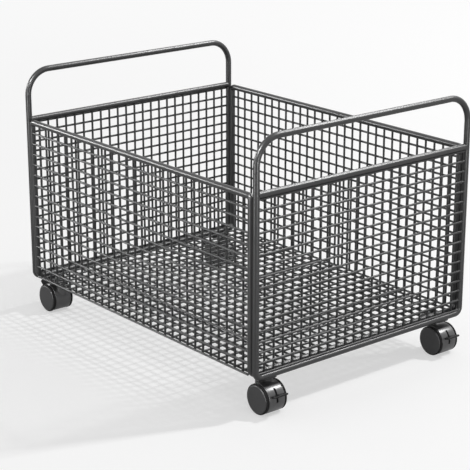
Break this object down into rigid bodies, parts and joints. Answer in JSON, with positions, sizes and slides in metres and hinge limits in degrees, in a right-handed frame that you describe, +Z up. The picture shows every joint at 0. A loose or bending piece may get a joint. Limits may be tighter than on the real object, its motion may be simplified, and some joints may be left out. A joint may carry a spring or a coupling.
{
  "type": "wire mesh book trolley",
  "caption": "Open wire mesh basket trolley with bent tube end handles on twin-wheel swivel castors with foot brake levers, for moving books or files.",
  "frame": {"origin": "on the floor, under the middle of the overall box", "axes": "+X along the trolley to its front end, +Y to its left side, +Z up from the floor"},
  "size_m": [0.6372, 0.4444, 0.43],
  "materials": {
    "coated_steel": "satin dark grey powder coat",
    "castor_plastic": "satin moulded grey",
    "tyre": "matt black tread",
    "zinc_steel": "bright zinc"
  },
  "bodies": {
    "frame": {"front_end_frame": "coated_steel", "front_cross_tube": "coated_steel", "front_end_mesh": "coated_steel", "tray_front_rod": "coated_steel", "rear_end_frame": "coated_steel", "rear_cross_tube": "coated_steel", "rear_end_mesh": "coated_steel", "tray_rear_rod": "coated_steel", "tray_left_rod": "coated_steel", "tray_left_mesh": "coated_steel", "tray_right_rod": "coated_steel", "tray_right_mesh": "coated_steel", "tray_floor_mesh": "coated_steel", "front_left_castor_plate": "coated_steel", "front_left_castor_nut": "zinc_steel", "front_left_castor_stem": "zinc_steel", "front_right_castor_plate": "coated_steel", "front_right_castor_nut": "zinc_steel", "front_right_castor_stem": "zinc_steel", "rear_left_castor_plate": "coated_steel", "rear_left_castor_nut": "zinc_steel", "rear_left_castor_stem": "zinc_steel", "rear_right_castor_plate": "coated_steel", "rear_right_castor_nut": "zinc_steel", "rear_right_castor_stem": "zinc_steel"},
    "front_left_castor": {"front_left_castor_hood": "castor_plastic", "front_left_castor_axle": "zinc_steel"},
    "front_left_left_wheel_set": {"front_left_left_wheel": "tyre", "front_left_left_wheel_cap": "castor_plastic"},
    "front_left_right_wheel_set": {"front_left_right_wheel": "tyre", "front_left_right_wheel_cap": "castor_plastic"},
    "front_left_brake": {"front_left_brake_lever": "castor_plastic"},
    "front_right_castor": {"front_right_castor_hood": "castor_plastic", "front_right_castor_axle": "zinc_steel"},
    "front_right_left_wheel_set": {"front_right_left_wheel": "tyre", "front_right_left_wheel_cap": "castor_plastic"},
    "front_right_right_wheel_set": {"front_right_right_wheel": "tyre", "front_right_right_wheel_cap": "castor_plastic"},
    "front_right_brake": {"front_right_brake_lever": "castor_plastic"},
    "rear_left_castor": {"rear_left_castor_hood": "castor_plastic", "rear_left_castor_axle": "zinc_steel"},
    "rear_left_left_wheel_set": {"rear_left_left_wheel": "tyre", "rear_left_left_wheel_cap": "castor_plastic"},
    "rear_left_right_wheel_set": {"rear_left_right_wheel": "tyre", "rear_left_right_wheel_cap": "castor_plastic"},
    "rear_left_brake": {"rear_left_brake_lever": "castor_plastic"},
    "rear_right_castor": {"rear_right_castor_hood": "castor_plastic", "rear_right_castor_axle": "zinc_steel"},
    "rear_right_left_wheel_set": {"rear_right_left_wheel": "tyre", "rear_right_left_wheel_cap": "castor_plastic"},
    "rear_right_right_wheel_set": {"rear_right_right_wheel": "tyre", "rear_right_right_wheel_cap": "castor_plastic"},
    "rear_right_brake": {"rear_right_brake_lever": "castor_plastic"}
  },
  "joints": [
    {"name": "front_left_swivel", "type": "hinge", "parent": "frame", "child": "front_left_castor", "pos_m": [0.267, 0.184, 0.055], "axis": [0, 0, 1], "continuous": true},
    {"name": "front_left_left_wheel_spin", "type": "hinge", "parent": "front_left_castor", "child": "front_left_left_wheel_set", "pos_m": [0.283, 0.184, 0.024], "axis": [0, 1, 0], "continuous": true},
    {"name": "front_left_right_wheel_spin", "type": "hinge", "parent": "front_left_castor", "child": "front_left_right_wheel_set", "pos_m": [0.283, 0.184, 0.024], "axis": [0, 1, 0], "continuous": true},
    {"name": "front_left_brake_turn", "type": "hinge", "parent": "front_left_castor", "child": "front_left_brake", "pos_m": [0.283, 0.184, 0.024], "axis": [0, -1, 0], "range_deg": [-16, 20]},
    {"name": "front_right_swivel", "type": "hinge", "parent": "frame", "child": "front_right_castor", "pos_m": [0.267, -0.184, 0.055], "axis": [0, 0, 1], "continuous": true},
    {"name": "front_right_left_wheel_spin", "type": "hinge", "parent": "front_right_castor", "child": "front_right_left_wheel_set", "pos_m": [0.283, -0.184, 0.024], "axis": [0, 1, 0], "continuous": true},
    {"name": "front_right_right_wheel_spin", "type": "hinge", "parent": "front_right_castor", "child": "front_right_right_wheel_set", "pos_m": [0.283, -0.184, 0.024], "axis": [0, 1, 0], "continuous": true},
    {"name": "front_right_brake_turn", "type": "hinge", "parent": "front_right_castor", "child": "front_right_brake", "pos_m": [0.283, -0.184, 0.024], "axis": [0, -1, 0], "range_deg": [-16, 20]},
    {"name": "rear_left_swivel", "type": "hinge", "parent": "frame", "child": "rear_left_castor", "pos_m": [-0.267, 0.184, 0.055], "axis": [0, 0, 1], "continuous": true},
    {"name": "rear_left_left_wheel_spin", "type": "hinge", "parent": "rear_left_castor", "child": "rear_left_left_wheel_set", "pos_m": [-0.283, 0.184, 0.024], "axis": [0, 1, 0], "continuous": true},
    {"name": "rear_left_right_wheel_spin", "type": "hinge", "parent": "rear_left_castor", "child": "rear_left_right_wheel_set", "pos_m": [-0.283, 0.184, 0.024], "axis": [0, 1, 0], "continuous": true},
    {"name": "rear_left_brake_turn", "type": "hinge", "parent": "rear_left_castor", "child": "rear_left_brake", "pos_m": [-0.283, 0.184, 0.024], "axis": [0, 1, 0], "range_deg": [-16, 20]},
    {"name": "rear_right_swivel", "type": "hinge", "parent": "frame", "child": "rear_right_castor", "pos_m": [-0.267, -0.184, 0.055], "axis": [0, 0, 1], "continuous": true},
    {"name": "rear_right_left_wheel_spin", "type": "hinge", "parent": "rear_right_castor", "child": "rear_right_left_wheel_set", "pos_m": [-0.283, -0.184, 0.024], "axis": [0, 1, 0], "continuous": true},
    {"name": "rear_right_right_wheel_spin", "type": "hinge", "parent": "rear_right_castor", "child": "rear_right_right_wheel_set", "pos_m": [-0.283, -0.184, 0.024], "axis": [0, 1, 0], "continuous": true},
    {"name": "rear_right_brake_turn", "type": "hinge", "parent": "rear_right_castor", "child": "rear_right_brake", "pos_m": [-0.283, -0.184, 0.024], "axis": [0, 1, 0], "range_deg": [-36, 0]}
  ]
}
